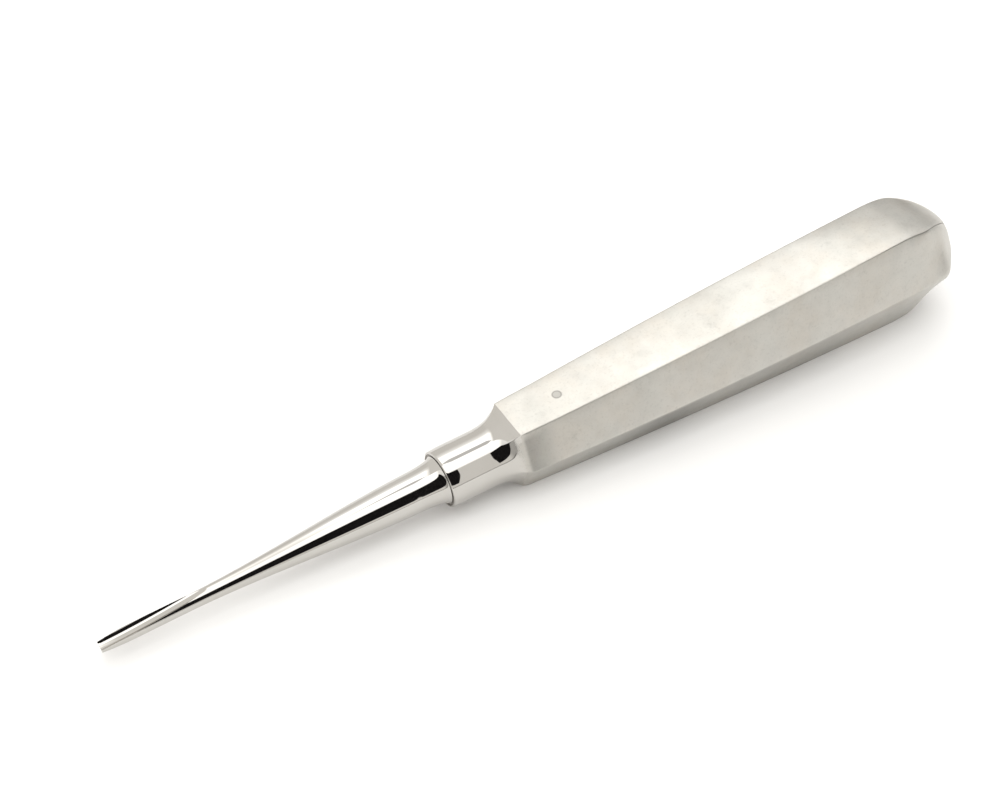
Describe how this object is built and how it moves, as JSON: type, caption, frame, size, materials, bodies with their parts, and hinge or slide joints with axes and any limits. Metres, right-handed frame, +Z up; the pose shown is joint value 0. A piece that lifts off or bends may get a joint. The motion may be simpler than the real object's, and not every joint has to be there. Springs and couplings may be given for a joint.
{
  "type": "dental elevator",
  "caption": "Straight dental elevator: slim gouge-ended polished blade brazed into a round neck on a tapered, hollow, six-sided satin steel handle with a domed butt.",
  "frame": {"origin": "on the resting plane, under the middle of the instrument's length", "axes": "+X towards the butt of the handle, -X towards the working tip, +Z up from the flat it lies on"},
  "size_m": [0.1584, 0.0182, 0.0198],
  "materials": {
    "polished_blade": "mirror-polished stainless steel",
    "polished_neck": "mirror-polished stainless steel",
    "satin_handle": "fine satin, blasted stainless steel",
    "silver_braze": "dull brazing alloy"
  },
  "bodies": {
    "root": {"blade": "polished_blade", "braze_ring": "silver_braze", "neck_bolster": "polished_neck", "handle_shell_top": "satin_handle", "handle_shell_bottom": "satin_handle"}
  },
  "joints": []
}
